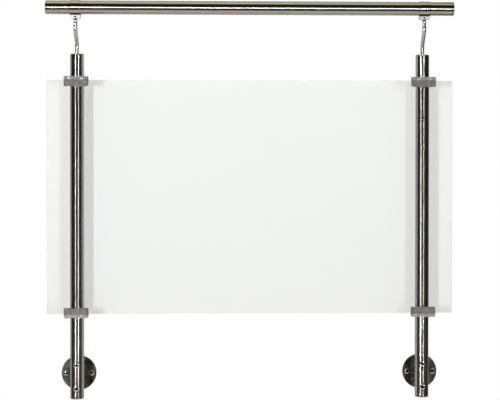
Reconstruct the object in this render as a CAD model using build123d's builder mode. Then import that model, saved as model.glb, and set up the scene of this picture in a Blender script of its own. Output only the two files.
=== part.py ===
from build123d import *
import os
from math import atan2, sqrt, tan

# A wall-fixed railing panel: two steel posts, a clear acrylic sheet held by four clamps, and a round
# handrail on two cranked supports. All sizes are in millimetres.
#
# The origin is the centre of the left flange's back face. X runs along the rail, Z is up and the wall
# is the plane y = 0. A place in depth is given as its distance out from the wall, so out = -y.

# Tubes of the posts and the rail, with their end caps
tube_diameter = 42.4
tube_wall = 2.0
cap_thickness = 4.0
cap_edge_radius = 3.0
cap_plug_length = 16.0
cap_plug_clearance = 0.1
joint_chamfer = 0.4

# Acrylic sheet
sheet_width = 1250.0
sheet_height = 720.0
sheet_thickness = 6.0
sheet_edge_chamfer = 0.5

# How the posts and the rail stand to the sheet and the wall
post_inset = 89.0
post_below_sheet = 266.5
post_above_sheet = 81.5
post_out = 60.0
rail_above_post = 140.0
rail_ahead_of_post = 45.0
rail_beyond_sheet = 2.0

# Wall flange, its standoffs and bolts
flange_above_post_foot = 71.0
flange_diameter = 108.0
flange_thickness = 6.0
flange_chamfer = 1.0
standoff_diameter = 20.0
post_bolt_from_rim = 17.5
post_bolt_diameter = 8.0
post_bolt_head = 18.5
post_bolt_head_height = 5.0
wall_bolt_from_rim = 14.0
wall_bolt_diameter = 10.0
wall_bolt_thread = 9.8
wall_bolt_shank = 9.0
wall_bolt_head = 17.5
wall_bolt_head_height = 5.0
wall_bolt_reach = 50.0
bolt_hole_clearance = 0.5
dome_share = 0.8
socket_share = 0.42

# Sheet clamps
clamp_width = 72.0
clamp_beyond_sheet = 11.5
clamp_corner_radius = 2.0
saddle_web = 8.8
saddle_grip = 13.2
block_edge_chamfer = 0.6
block_height = 27.5
plate_height = 31.0
plate_thickness = 10.0
plate_edge_chamfer = 0.6
strip_height = 10.0
strip_fall = 3.2
pad_thickness = 1.5
pad_foot = 1.0
pad_side_margin = 2.0
back_pad_reach = 15.0
front_pad_reach = 18.5
clamp_screw_spacing = 37.0
clamp_screw_from_edge = 5.8
clamp_screw_diameter = 5.0
clamp_screw_head = 9.5
clamp_screw_head_height = 2.75
clamp_screw_sink = 3.5
clamp_screw_length = 20.0
saddle_screw_diameter = 6.0
saddle_screw_head = 12.0
saddle_screw_end = 4.0

# Rail supports
ring_wall = 1.4
ring_clearance = 0.05
bracket_width = 33.0
boss_depth = 18.0
boss_below_rail = 13.3
boss_corner_radius = 4.0
boss_root_radius = 3.5
bracket_edge_chamfer = 0.4
lock_screw_diameter = 6.0
lock_screw_below_rail = 8.2
lock_screw_sink = 0.8
stud_diameter = 9.0
stud_in_boss = 9.0
neck_length = 5.0
bush_wall = 0.9
fork_top_to_pin = 7.4
fork_slot = 5.0
fork_clearance = 0.2
tongue_radius = 5.0
pin_diameter = 5.0
pin_proud = 0.6
rod_diameter = 12.0
rod_shoulder_below_pin = 6.8
rod_upper_leg = 16.3
rod_lower_leg = 12.0
rod_bend_radius = 20.0
rod_screw_diameter = 8.0
rod_screw_length = 12.0
rod_screw_end_gap = 1.0
spigot_height = 19.0

# Places that follow from the sizes above
tube_radius = tube_diameter / 2
post_bolt_spacing = flange_diameter - 2 * post_bolt_from_rim
wall_bolt_spacing = flange_diameter - 2 * wall_bolt_from_rim
bore_radius = tube_radius - tube_wall
post_spacing = sheet_width - 2 * post_inset
middle_x = post_spacing / 2
foot_z = -flange_above_post_foot
sheet_bottom_z = foot_z + post_below_sheet
sheet_top_z = sheet_bottom_z + sheet_height
post_top_z = sheet_top_z + post_above_sheet
rail_z = post_top_z + rail_above_post
rail_out = post_out + rail_ahead_of_post
rail_start_x = middle_x - sheet_width / 2 - rail_beyond_sheet
rail_end_x = middle_x + sheet_width / 2 + rail_beyond_sheet
post_front_out = post_out + tube_radius
block_front_out = post_front_out + saddle_web
block_back_out = post_front_out - saddle_grip
sheet_back_out = block_front_out + pad_thickness
sheet_front_out = sheet_back_out + sheet_thickness
plate_back_out = sheet_front_out + pad_thickness
plate_front_out = plate_back_out + plate_thickness
boss_bottom_z = rail_z - tube_radius - boss_below_rail
lock_screw_z = rail_z - tube_radius - lock_screw_below_rail
fork_top_z = boss_bottom_z - neck_length
pin_z = fork_top_z - fork_top_to_pin
rod_top_z = pin_z - rod_shoulder_below_pin
rod_foot_z = post_top_z + spigot_height

sides = {"left": 0.0, "right": post_spacing}
edges_of_sheet = {"top": (sheet_top_z, 1), "bottom": (sheet_bottom_z, -1)}
post_bolt_heights = (-post_bolt_spacing / 2, post_bolt_spacing / 2)


def facing_out(x, out, z):
    """A plane at this place that faces away from the wall."""
    return Plane(origin=(x, -out, z), x_dir=(1, 0, 0), z_dir=(0, -1, 0))


def side_view(*places):
    """Points of a side view, given as distance out from the wall and height."""
    return [(-out, z) for out, z in places]


def outer_edge_z(edge):
    """Height of a clamp's outer edge, past the sheet's top or bottom edge."""
    sheet_edge_z, away = edges_of_sheet[edge]
    return sheet_edge_z + away * clamp_beyond_sheet


def saddle_screw_z(edge):
    """Height of a saddle screw, at the middle of the sheet's overlap with its block."""
    sheet_edge_z, away = edges_of_sheet[edge]
    return sheet_edge_z - away * (block_height - clamp_beyond_sheet) / 2


def keep(piece, name):
    """Label a finished piece and write it to a file of its own."""
    piece.part.label = name
    export_step(piece.part, f"parts/{name}.step")


def make_end_cap(rim_plane, inward, spigot=0.0):
    """A flat tube cap with a rounded edge, a plug on its inner side and, on a rail post, a spigot."""
    with BuildPart() as cap:
        with BuildSketch(rim_plane):
            Circle(tube_radius)
        extrude(amount=-inward * cap_thickness)
        outwards = cap.faces().sort_by(Axis(rim_plane.origin, rim_plane.z_dir * -inward))
        fillet(outwards[-1].edges(), radius=min(cap_edge_radius, 0.8 * cap_thickness))
        chamfer(outwards[0].edges(), length=joint_chamfer)
        with BuildSketch(rim_plane):
            Circle(bore_radius - cap_plug_clearance)
        extrude(amount=inward * cap_plug_length)
        if spigot:
            with BuildSketch(rim_plane.offset(-inward * cap_thickness)):
                Circle(rod_diameter / 2)
            extrude(amount=-inward * spigot)
            spigot_end = cap.faces().sort_by(Axis(rim_plane.origin, rim_plane.z_dir * -inward))[-1]
            chamfer(spigot_end.edges(), length=joint_chamfer)
            with BuildSketch(rim_plane.offset(-inward * (cap_thickness + spigot))):
                Circle(rod_screw_diameter / 2)
            extrude(amount=inward * (rod_screw_length + rod_screw_end_gap), mode=Mode.SUBTRACT)
    return cap


def make_domed_bolts(centres, seat_out, shank_end_out, shank, head, head_height, seat_x=None):
    """Bolts along Y with domed socket heads; where seat_x is given, their heads sit on that post."""
    with BuildPart() as bolts:
        with BuildSketch(Plane.XZ.offset(seat_out)):
            with Locations(*centres):
                Circle(head / 2)
        extrude(amount=head_height)
        rims = bolts.edges().filter_by(GeomType.CIRCLE).group_by(Axis.Y)[0]
        fillet(rims, radius=dome_share * head_height)
        if seat_x is not None:
            lowest = min(z for _, z in centres) - head
            highest = max(z for _, z in centres) + head
            with BuildSketch(Plane.XY.offset(lowest)):
                with Locations((seat_x, -post_out)):
                    Circle(tube_radius)
            extrude(amount=highest - lowest, mode=Mode.SUBTRACT)
        with BuildSketch(Plane.XZ.offset(shank_end_out)):
            with Locations(*centres):
                Circle(shank / 2)
        extrude(amount=seat_out + head_height / 2 - shank_end_out)
        with BuildSketch(Plane.XZ.offset(seat_out + head_height)):
            with Locations(*centres):
                RegularPolygon(socket_share * head / 2, 6)
        extrude(amount=-head_height / 2, mode=Mode.SUBTRACT)
    return bolts


def make_wall_bolts(x):
    """Two domed bolts through the flange: a plain shank in the plate, then a thread into the wall."""
    places = [(x + shift, 0) for shift in (-wall_bolt_spacing / 2, wall_bolt_spacing / 2)]
    shanks = make_domed_bolts(
        places, flange_thickness, 0, wall_bolt_shank, wall_bolt_head, wall_bolt_head_height
    )
    with BuildPart() as bolts:
        add(shanks.part)
        with BuildSketch(Plane.XZ.offset(-wall_bolt_reach)):
            with Locations(*places):
                Circle(wall_bolt_thread / 2)
        extrude(amount=wall_bolt_reach)
    return bolts


def make_acrylic_sheet():
    """The clear infill sheet, undrilled, with its arrises eased."""
    with BuildPart() as sheet:
        with BuildSketch(Plane.XZ.offset(sheet_back_out)):
            with Locations((middle_x, (sheet_top_z + sheet_bottom_z) / 2)):
                Rectangle(sheet_width, sheet_height)
        extrude(amount=sheet_thickness)
        faces_of_sheet = sheet.faces().filter_by(Axis.Y)
        chamfer(faces_of_sheet.edges(), length=sheet_edge_chamfer)
    return sheet


def outer_rims(tube):
    """The two outer edges at a tube's ends."""
    return tube.edges().filter_by(GeomType.CIRCLE).group_by(SortBy.RADIUS)[-1]


def make_rail_tube():
    """The handrail tube, between its two caps."""
    with BuildPart() as tube:
        with BuildSketch(Plane.YZ.offset(rail_start_x + cap_thickness)):
            with Locations((-rail_out, rail_z)):
                Circle(tube_radius)
                Circle(bore_radius, mode=Mode.SUBTRACT)
        extrude(amount=rail_end_x - rail_start_x - 2 * cap_thickness)
        chamfer(outer_rims(tube), length=joint_chamfer)
    return tube


def make_post_tube(x):
    """A post's tube, with its holes for the two long bolts and the two saddle screws."""
    with BuildPart() as tube:
        with BuildSketch(Plane.XY.offset(foot_z + cap_thickness)):
            with Locations((x, -post_out)):
                Circle(tube_radius)
                Circle(bore_radius, mode=Mode.SUBTRACT)
        extrude(amount=post_top_z - foot_z - 2 * cap_thickness)
        chamfer(outer_rims(tube), length=joint_chamfer)
        with Locations(*[facing_out(x, post_front_out, z) for z in post_bolt_heights]):
            Hole(post_bolt_diameter / 2 + bolt_hole_clearance / 2)
        with Locations(*[facing_out(x, post_front_out, saddle_screw_z(edge)) for edge in edges_of_sheet]):
            Hole(saddle_screw_diameter / 2, depth=tube_radius)
    return tube


def make_wall_flange(x):
    """The round plate, with two holes for the wall bolts and two for the post's bolts."""
    with BuildPart() as flange:
        with BuildSketch(Plane.XZ):
            with Locations((x, 0)):
                Circle(flange_diameter / 2)
                with GridLocations(wall_bolt_spacing, 0, 2, 1):
                    Circle((wall_bolt_diameter + bolt_hole_clearance) / 2, mode=Mode.SUBTRACT)
                with GridLocations(0, post_bolt_spacing, 1, 2):
                    Circle(post_bolt_diameter / 2, mode=Mode.SUBTRACT)
        extrude(amount=flange_thickness)
        front_rim = flange.faces().sort_by(Axis.Y)[0].outer_wire().edges()
        chamfer(front_rim, length=flange_chamfer)
    return flange


def make_standoff(x, z):
    """A sleeve between flange and post, its outer end cut to the post's round."""
    with BuildPart() as standoff:
        with BuildSketch(Plane.XZ.offset(flange_thickness)):
            with Locations((x, z)):
                Circle(standoff_diameter / 2)
                Circle((post_bolt_diameter + bolt_hole_clearance) / 2, mode=Mode.SUBTRACT)
        extrude(amount=post_out - flange_thickness)
        with BuildSketch(Plane.XY.offset(z - standoff_diameter)):
            with Locations((x, -post_out)):
                Circle(tube_radius)
        extrude(amount=2 * standoff_diameter, mode=Mode.SUBTRACT)
    return standoff


def make_saddle_block(x, edge):
    """A clamp's rear half: hollowed for the post, with a lip past the sheet's edge."""
    sheet_edge_z, away = edges_of_sheet[edge]
    outer_z = outer_edge_z(edge)
    inner_z = outer_z - away * block_height
    lip_z = sheet_edge_z + away * pad_foot
    outline = side_view(
        (block_back_out, outer_z),
        (plate_back_out, outer_z),
        (plate_back_out, lip_z),
        (block_front_out, lip_z),
        (block_front_out, inner_z),
        (block_back_out, inner_z),
    )
    screw_z = outer_z - away * clamp_screw_from_edge
    screw_sinks = [
        facing_out(x + shift, plate_back_out, screw_z)
        for shift in (-clamp_screw_spacing / 2, clamp_screw_spacing / 2)
    ]
    with BuildPart() as block:
        with BuildSketch(Plane.YZ.offset(x - clamp_width / 2)):
            with BuildLine():
                Polyline(*outline, close=True)
            make_face()
        extrude(amount=clamp_width)
        corners = block.edges().filter_by(Axis.Y).group_by(Axis.Z)
        fillet(corners[0] + corners[-1], radius=clamp_corner_radius)
        back_face = block.faces().filter_by(Axis.Y).sort_by(Axis.Y)[-1]
        chamfer(back_face.edges(), length=block_edge_chamfer)
        with BuildSketch(Plane.XY.offset(min(outer_z, inner_z))):
            with Locations((x, -post_out)):
                Circle(tube_radius)
        extrude(amount=block_height, mode=Mode.SUBTRACT)
        with Locations(*screw_sinks):
            Hole(clamp_screw_diameter / 2, depth=clamp_screw_length - plate_thickness + clamp_screw_sink)
        with Locations(facing_out(x, block_front_out, saddle_screw_z(edge))):
            CounterSinkHole(saddle_screw_diameter / 2, saddle_screw_head / 2, counter_sink_angle=90)
    return block


def make_saddle_screw(x, edge):
    """The countersunk screw that holds a block to its post, flush under the back pad."""
    tip_out = post_front_out - tube_wall - saddle_screw_end
    z = saddle_screw_z(edge)
    head_depth = (saddle_screw_head - saddle_screw_diameter) / 2
    half_outline = side_view(
        (block_front_out, z),
        (block_front_out, z + saddle_screw_head / 2),
        (block_front_out - head_depth, z + saddle_screw_diameter / 2),
        (tip_out, z + saddle_screw_diameter / 2),
        (tip_out, z),
    )
    with BuildPart() as screw:
        with BuildSketch(Plane.YZ.offset(x)):
            with BuildLine():
                Polyline(*half_outline, close=True)
            make_face()
        revolve(axis=Axis((x, 0, z), (0, -1, 0)))
        with BuildSketch(Plane.XZ.offset(block_front_out)):
            with Locations((x, z)):
                RegularPolygon(saddle_screw_diameter / 3, 6)
        extrude(amount=-head_depth, mode=Mode.SUBTRACT)
    return screw


def make_back_pad(x, edge):
    """The rubber behind the sheet, with a foot between the lip and the sheet's edge."""
    sheet_edge_z, away = edges_of_sheet[edge]
    foot_z_of_pad = sheet_edge_z + away * pad_foot
    end_z = sheet_edge_z - away * back_pad_reach
    outline = side_view(
        (block_front_out, foot_z_of_pad),
        (plate_back_out, foot_z_of_pad),
        (plate_back_out, sheet_edge_z),
        (sheet_back_out, sheet_edge_z),
        (sheet_back_out, end_z),
        (block_front_out, end_z),
    )
    pad_width = clamp_width - 2 * pad_side_margin
    with BuildPart() as pad:
        with BuildSketch(Plane.YZ.offset(x - pad_width / 2)):
            with BuildLine():
                Polyline(*outline, close=True)
            make_face()
        extrude(amount=pad_width)
    return pad


def make_front_pad(x, edge):
    """The flat rubber between the sheet and the clamp plate."""
    sheet_edge_z, away = edges_of_sheet[edge]
    with BuildPart() as pad:
        with BuildSketch(Plane.XZ.offset(sheet_front_out)):
            with Locations((x, sheet_edge_z - away * front_pad_reach / 2)):
                Rectangle(clamp_width - 2 * pad_side_margin, front_pad_reach)
        extrude(amount=pad_thickness)
    return pad


def make_clamp_plate(x, edge):
    """A clamp's front half: a thick plate whose outer strip falls back and carries the screws."""
    _, away = edges_of_sheet[edge]
    outer_z = outer_edge_z(edge)
    inner_z = outer_z - away * plate_height
    ridge_z = outer_z - away * strip_height
    outline = side_view(
        (plate_back_out, outer_z),
        (plate_front_out - strip_fall, outer_z),
        (plate_front_out, ridge_z),
        (plate_front_out, inner_z),
        (plate_back_out, inner_z),
    )
    with BuildPart() as plate:
        with BuildSketch(Plane.YZ.offset(x - clamp_width / 2)):
            with BuildLine():
                Polyline(*outline, close=True)
            make_face()
        extrude(amount=clamp_width)
        corners = plate.edges().filter_by(Axis.Y).group_by(Axis.Z)
        fillet(corners[0] + corners[-1], radius=clamp_corner_radius)
        front_faces = plate.faces().filter_by(lambda face: face.normal_at().Y < -0.5)
        ridge = front_faces.edges().filter_by(Axis.X).filter_by(lambda e: abs(e.center().Z - ridge_z) < 0.01)
        rim = [edge_of_face for edge_of_face in front_faces.edges() if edge_of_face not in ridge]
        chamfer(rim, length=plate_edge_chamfer)
        screw_z = outer_z - away * clamp_screw_from_edge
        with Locations(facing_out(x, plate_front_out, screw_z)):
            with GridLocations(clamp_screw_spacing, 0, 2, 1):
                CounterBoreHole(
                    (clamp_screw_diameter + bolt_hole_clearance) / 2,
                    (clamp_screw_head + bolt_hole_clearance) / 2,
                    clamp_screw_sink,
                )
    return plate


def make_rail_bracket(x):
    """The casting that carries the rail: a sleeve round it and a boss under it."""
    with BuildPart() as bracket:
        with BuildSketch(Plane.YZ.offset(x - bracket_width / 2)):
            with Locations((-rail_out, (rail_z + boss_bottom_z) / 2)):
                Rectangle(boss_depth, rail_z - boss_bottom_z)
        extrude(amount=bracket_width)
        fillet(bracket.edges().filter_by(Axis.Y).group_by(Axis.Z)[0], radius=boss_corner_radius)
        with BuildSketch(Plane.YZ.offset(x - bracket_width / 2)):
            with Locations((-rail_out, rail_z)):
                Circle(tube_radius + ring_wall)
        extrude(amount=bracket_width)
        roots = bracket.edges().filter_by(Axis.X).filter_by(lambda e: e.center().Z > boss_bottom_z + 1)
        fillet(roots, radius=boss_root_radius)
        ends = bracket.faces().filter_by(Axis.X)
        chamfer(ends.edges(), length=bracket_edge_chamfer)
        with BuildSketch(Plane.YZ.offset(x - bracket_width / 2)):
            with Locations((-rail_out, rail_z)):
                Circle(tube_radius + ring_clearance)
        extrude(amount=bracket_width, mode=Mode.SUBTRACT)
        with BuildSketch(Plane.XY.offset(boss_bottom_z)):
            with Locations((x, -rail_out)):
                Circle(stud_diameter / 2)
        extrude(amount=stud_in_boss, mode=Mode.SUBTRACT)
        with Locations(facing_out(x, rail_out + boss_depth / 2, lock_screw_z)):
            Hole(lock_screw_diameter / 2, depth=boss_depth / 2)
    return bracket


def make_lock_screw(x):
    """The grub screw in the boss's front, down onto the knuckle's stud."""
    front_out = rail_out + boss_depth / 2 - lock_screw_sink
    length = front_out - rail_out - stud_diameter / 2
    with BuildPart() as screw:
        with BuildSketch(facing_out(x, front_out - length, lock_screw_z)):
            Circle(lock_screw_diameter / 2)
        extrude(amount=length)
        with BuildSketch(facing_out(x, front_out, lock_screw_z)):
            RegularPolygon(lock_screw_diameter / 4, 6)
        extrude(amount=-length / 2, mode=Mode.SUBTRACT)
    return screw


def make_knuckle_head(x):
    """The forked head: a stud up into the boss, and two cheeks that take the rod's tongue."""
    cheek_radius = rod_diameter / 2
    slot_top_z = pin_z + tongue_radius + fork_clearance
    with BuildPart() as head:
        with BuildSketch(Plane.XY.offset(pin_z - cheek_radius)):
            with Locations((x, -rail_out)):
                Circle(cheek_radius)
        extrude(amount=fork_top_z - pin_z + cheek_radius)
        with BuildSketch(Plane.XZ.offset(rail_out)):
            with Locations((x, pin_z)):
                Circle(cheek_radius)
            with Locations((x, (pin_z + fork_top_z) / 2)):
                Rectangle(rod_diameter, fork_top_z - pin_z)
        extrude(amount=cheek_radius, both=True, mode=Mode.INTERSECT)
        with BuildSketch(Plane.XY.offset(fork_top_z)):
            with Locations((x, -rail_out)):
                Circle(stud_diameter / 2)
        extrude(amount=neck_length + stud_in_boss)
        with BuildSketch(Plane.YZ.offset(x)):
            with Locations((-rail_out, (slot_top_z + pin_z - cheek_radius) / 2)):
                Rectangle(fork_slot, slot_top_z - pin_z + cheek_radius)
        extrude(amount=rod_diameter, both=True, mode=Mode.SUBTRACT)
        with Locations(facing_out(x, rail_out + cheek_radius, pin_z)):
            Hole(pin_diameter / 2)
    return head


def make_swivel_bush(x):
    """The plastic bush round the stud, between the boss and the fork."""
    with BuildPart() as bush:
        with BuildSketch(Plane.XY.offset(fork_top_z)):
            with Locations((x, -rail_out)):
                Circle(stud_diameter / 2 + bush_wall)
                Circle(stud_diameter / 2, mode=Mode.SUBTRACT)
        extrude(amount=neck_length)
    return bush


def make_knuckle_pin(x):
    """The cross pin, with a socket in its front end."""
    reach = rod_diameter / 2 + pin_proud
    with BuildPart() as pin:
        with BuildSketch(Plane.XZ.offset(rail_out - reach)):
            with Locations((x, pin_z)):
                Circle(pin_diameter / 2)
        extrude(amount=2 * reach)
        chamfer(pin.edges().filter_by(GeomType.CIRCLE), length=pin_proud / 2)
        with BuildSketch(Plane.XZ.offset(rail_out + reach)):
            with Locations((x, pin_z)):
                RegularPolygon(pin_diameter / 4, 6)
        extrude(amount=-pin_diameter / 2, mode=Mode.SUBTRACT)
    return pin


def make_support_rod(x):
    """The round rod, bent twice to bring the rail ahead of the post."""
    upper_bend_z = rod_top_z - rod_upper_leg
    lower_bend_z = rod_foot_z + rod_lower_leg
    turn = atan2(rail_ahead_of_post, upper_bend_z - lower_bend_z)
    leg_room = 0.95 * min(rod_upper_leg, rod_lower_leg) / tan(turn / 2)
    route = side_view(
        (post_out, rod_foot_z),
        (post_out, lower_bend_z),
        (rail_out, upper_bend_z),
        (rail_out, rod_top_z),
    )
    tongue_thickness = fork_slot - fork_clearance
    with BuildPart() as rod:
        with BuildLine(Plane.YZ.offset(x)):
            FilletPolyline(*route, radius=min(rod_bend_radius, leg_room))
        with BuildSketch(Plane.XY.offset(rod_foot_z)):
            with Locations((x, -post_out)):
                Circle(rod_diameter / 2)
        sweep()
        chamfer(rod.faces().sort_by(Axis.Z)[0].edges(), length=joint_chamfer)
        with BuildSketch(Plane.XZ.offset(rail_out)):
            with Locations((x, pin_z)):
                Circle(tongue_radius)
            with Locations((x, (pin_z + rod_top_z) / 2)):
                Rectangle(2 * tongue_radius, pin_z - rod_top_z)
        extrude(amount=tongue_thickness / 2, both=True)
        with Locations(facing_out(x, rail_out + tongue_thickness / 2, pin_z)):
            Hole(pin_diameter / 2, depth=tongue_thickness)
        with BuildSketch(Plane.XY.offset(rod_foot_z - rod_screw_length)):
            with Locations((x, -post_out)):
                Circle(rod_screw_diameter / 2)
        extrude(amount=rod_screw_length)
    return rod


os.makedirs("parts", exist_ok=True)

keep(make_acrylic_sheet(), "acrylic_sheet")

keep(make_rail_tube(), "handrail_tube")
rail_start = Plane(origin=(rail_start_x + cap_thickness, -rail_out, rail_z), z_dir=(1, 0, 0))
rail_end = Plane(origin=(rail_end_x - cap_thickness, -rail_out, rail_z), z_dir=(1, 0, 0))
keep(make_end_cap(rail_start, 1), "handrail_end_cap_left")
keep(make_end_cap(rail_end, -1), "handrail_end_cap_right")

for side, x in sides.items():
    post_foot = Plane(origin=(x, -post_out, foot_z + cap_thickness), z_dir=(0, 0, 1))
    post_head = Plane(origin=(x, -post_out, post_top_z - cap_thickness), z_dir=(0, 0, 1))
    post_bolt_places = [(x, z) for z in post_bolt_heights]
    head_sag = tube_radius - sqrt(tube_radius**2 - (post_bolt_head / 2) ** 2)

    keep(make_post_tube(x), f"post_tube_{side}")
    keep(make_end_cap(post_foot, 1), f"post_bottom_cap_{side}")
    keep(make_end_cap(post_head, -1, spigot_height), f"post_top_cap_{side}")

    keep(make_wall_flange(x), f"wall_flange_{side}")
    keep(make_standoff(x, post_bolt_spacing / 2), f"upper_standoff_{side}")
    keep(make_standoff(x, -post_bolt_spacing / 2), f"lower_standoff_{side}")
    keep(make_wall_bolts(x), f"wall_bolts_{side}")
    post_bolts = make_domed_bolts(
        post_bolt_places,
        post_front_out - head_sag,
        0,
        post_bolt_diameter,
        post_bolt_head,
        post_bolt_head_height + head_sag,
        seat_x=x,
    )
    keep(post_bolts, f"post_bolts_{side}")

    keep(make_rail_bracket(x), f"rail_bracket_{side}")
    keep(make_lock_screw(x), f"bracket_lock_screw_{side}")
    keep(make_swivel_bush(x), f"swivel_bush_{side}")
    keep(make_knuckle_head(x), f"knuckle_head_{side}")
    keep(make_knuckle_pin(x), f"knuckle_pin_{side}")
    keep(make_support_rod(x), f"support_rod_{side}")

    for edge, (_, away) in edges_of_sheet.items():
        screw_z = outer_edge_z(edge) - away * clamp_screw_from_edge
        clamp_screw_places = [
            (x + shift, screw_z) for shift in (-clamp_screw_spacing / 2, clamp_screw_spacing / 2)
        ]
        clamp_screw_seat_out = plate_front_out - clamp_screw_sink
        clamp_screws = make_domed_bolts(
            clamp_screw_places,
            clamp_screw_seat_out,
            clamp_screw_seat_out - clamp_screw_length,
            clamp_screw_diameter,
            clamp_screw_head,
            clamp_screw_head_height,
        )
        keep(make_saddle_block(x, edge), f"saddle_block_{edge}_{side}")
        keep(make_saddle_screw(x, edge), f"saddle_screw_{edge}_{side}")
        keep(make_back_pad(x, edge), f"back_pad_{edge}_{side}")
        keep(make_front_pad(x, edge), f"front_pad_{edge}_{side}")
        keep(make_clamp_plate(x, edge), f"clamp_plate_{edge}_{side}")
        keep(clamp_screws, f"clamp_screws_{edge}_{side}")
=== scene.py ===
from math import cos, radians, sqrt, tau

import bmesh
import bpy
from mathutils import Euler, Matrix, Vector


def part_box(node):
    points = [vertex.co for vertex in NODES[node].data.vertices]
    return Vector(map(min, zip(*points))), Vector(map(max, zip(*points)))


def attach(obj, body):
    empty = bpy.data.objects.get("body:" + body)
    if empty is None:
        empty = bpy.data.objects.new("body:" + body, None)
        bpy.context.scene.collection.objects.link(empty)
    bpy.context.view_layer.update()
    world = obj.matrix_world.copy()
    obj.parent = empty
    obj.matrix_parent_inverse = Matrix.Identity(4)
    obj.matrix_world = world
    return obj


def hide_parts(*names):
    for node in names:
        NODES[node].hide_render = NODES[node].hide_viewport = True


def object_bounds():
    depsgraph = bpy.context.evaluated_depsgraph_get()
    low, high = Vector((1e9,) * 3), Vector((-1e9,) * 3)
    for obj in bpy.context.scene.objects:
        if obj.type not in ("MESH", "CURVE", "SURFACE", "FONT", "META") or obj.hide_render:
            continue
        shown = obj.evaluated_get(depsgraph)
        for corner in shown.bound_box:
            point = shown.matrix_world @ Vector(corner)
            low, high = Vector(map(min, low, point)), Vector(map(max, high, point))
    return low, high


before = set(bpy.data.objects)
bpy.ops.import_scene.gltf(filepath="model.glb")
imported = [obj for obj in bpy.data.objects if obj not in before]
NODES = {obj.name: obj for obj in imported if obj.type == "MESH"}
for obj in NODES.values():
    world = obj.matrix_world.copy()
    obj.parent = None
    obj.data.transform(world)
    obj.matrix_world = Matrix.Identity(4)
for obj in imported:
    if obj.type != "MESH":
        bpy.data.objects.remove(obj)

# A railing panel of clear acrylic between two steel posts, with a handrail above. Metres, Z up; the
# wall is the plane y = 0 and people stand on the -y side.

CAD_LOW, CAD_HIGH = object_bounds()
MM = 0.001
NEAR = 0.01 * MM
SIDES = ("left", "right")
CLAMPS = tuple(f"{edge}_{side}" for side in SIDES for edge in ("top", "bottom"))

# Camera, in metres and degrees, and its frame in pixels
CAMERA_PLACE = (0.4873, -4.6441, 0.7849)
CAMERA_YAW = 2.34
CAMERA_PITCH = -0.75
CAMERA_ROLL = -0.08
FOCAL_LENGTH_PX = 1474.5
FRAME_WIDTH_PX = 500
FRAME_HEIGHT_PX = 400
OPTICAL_AXIS_PX = (295, 142)
SENSOR_WIDTH_MM = 36.0

# Lamps: name, place, power in watts
LAMPS = (
    ("left_soft_box", (-1.80, -4.90, 0.75), 104.0),
    ("right_soft_box", (2.80, -4.70, 0.75), 50.0),
)
LAMP_WIDTH = 0.30
LAMP_HEIGHT = 0.80
LAMP_AIM = (0.536, -0.06, 0.55)

# Stage
FLOOR_BELOW_OBJECT = 0.30
STAGE_HALF_WIDTH = 9.0
WALL_TOP = 6.0
UNIT_HALF_WIDTH = 0.5
WHITE = (1, 1, 1)

# Floor paint
FLOOR_PAINT_DARK = (0.80, 0.79, 0.775)
FLOOR_PAINT_LIGHT = (0.83, 0.82, 0.805)
FLOOR_ROUGHNESS = 0.9
FLOOR_SHINE = 0.1

# What metal sees of the floor: lit near the wall, dark far from it or at a slant
FLOOR_GLOW = (1, 0.92, 0.80)
FLOOR_GLOW_STRENGTH = 1.3
FLOOR_GLOW_SHARE = 0.3
FLOOR_UNLIT = (0.021, 0.017, 0.013)
FLOOR_LIT_TO = -1.25
FLOOR_DARK_FROM = -1.60
FLOOR_SLANT_BLEND = 0.5
FLOOR_SLANT_FROM = 0.45
FLOOR_SLANT_TO = 0.60

# Wall colour at the object's top, darkened towards its foot as painted shade, and the veil that lies on
# it through the sheet
WALL_FOOT_PAINTED_SHADE = (0.80, 0.80, 0.795)
WALL_PAINT_HIGH = (0.93, 0.93, 0.93)
VEIL_STRENGTH = 1.46
VEIL_SHARE = 0.25

# What metal sees of the wall: lit between two values of X, and dimmed a little even there
WALL_UNLIT = (0.031, 0.025, 0.020)
WALL_LIT_FROM = -0.34
WALL_LIT_TO = 1.18
WALL_LEFT_BLEND = 0.03
WALL_RIGHT_BLEND = 0.01
WALL_DIMMED = 0.30

# World: even light, and the room that metal sees, as (height of the direction, colour)
AMBIENT = 0.42
AMBIENT_COLOUR = (1.0, 0.99, 0.975)
ROOM_STRENGTH = 1.2
ROOM_DARK = (0.80, (0.010, 0.009, 0.008))
ROOM_MIDDLE = (0.88, (0.24, 0.24, 0.08))
ROOM_CEILING = (0.95, (1.0, 0.96, 0.58))

# A count of bounces above this means at least one
HALF_BOUNCE = 0.5

# Noise patterns. Nearly all values of a noise lie between NOISE_LOW and NOISE_HIGH.
NOISE_LOW = 0.3
NOISE_HIGH = 0.7
BROAD_SCALE = 0.12
BROAD_HEIGHT = 0.35
HAZE_FROM = 0.42
HAZE_TO = 0.68
TURNED_BAND_SCALE = 0.15
SAW_LINES = 900.0
SAW_STRETCH = (1, 40, 1)

# How far grinding lines run along X, Y and Z: round a bar that lies along X or Z, or no way at all
ROUND_X = (1, 30, 30)
ROUND_Z = (30, 30, 1)
EVEN_GRAIN = (1, 1, 1)

# Across the lines, a little off the bar's axis, so that the flat end of a cap has a direction too
ACROSS_RAIL = (1, 0.01, 0.01)
ACROSS_POST = (0.01, 0.01, 1)

# Steel
STEEL_DARK = (0.56, 0.535, 0.500)
STEEL_LIGHT = (0.585, 0.56, 0.525)
WEAR_SHARE = 0.5
GRINDING_DEPTH = 0.001 * MM
TURNING_DEPTH = 0.01 * MM

# Rail bracket: a band of painted shade where its boss meets its sleeve, above and below the rail's
# lowest line
ROOT_ABOVE = 2.5 * MM
ROOT_BELOW = 2.8 * MM
ROOT_BLEND = 0.6 * MM
ROOT_PAINTED_SHADE = (0.07, 0.067, 0.064)
BOSS_COLOUR = (0.78, 0.77, 0.76)
BOSS_SMOOTH = 0.32
BOSS_DULL = 0.38
SLEEVE_ROUGHNESS = 0.27
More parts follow.
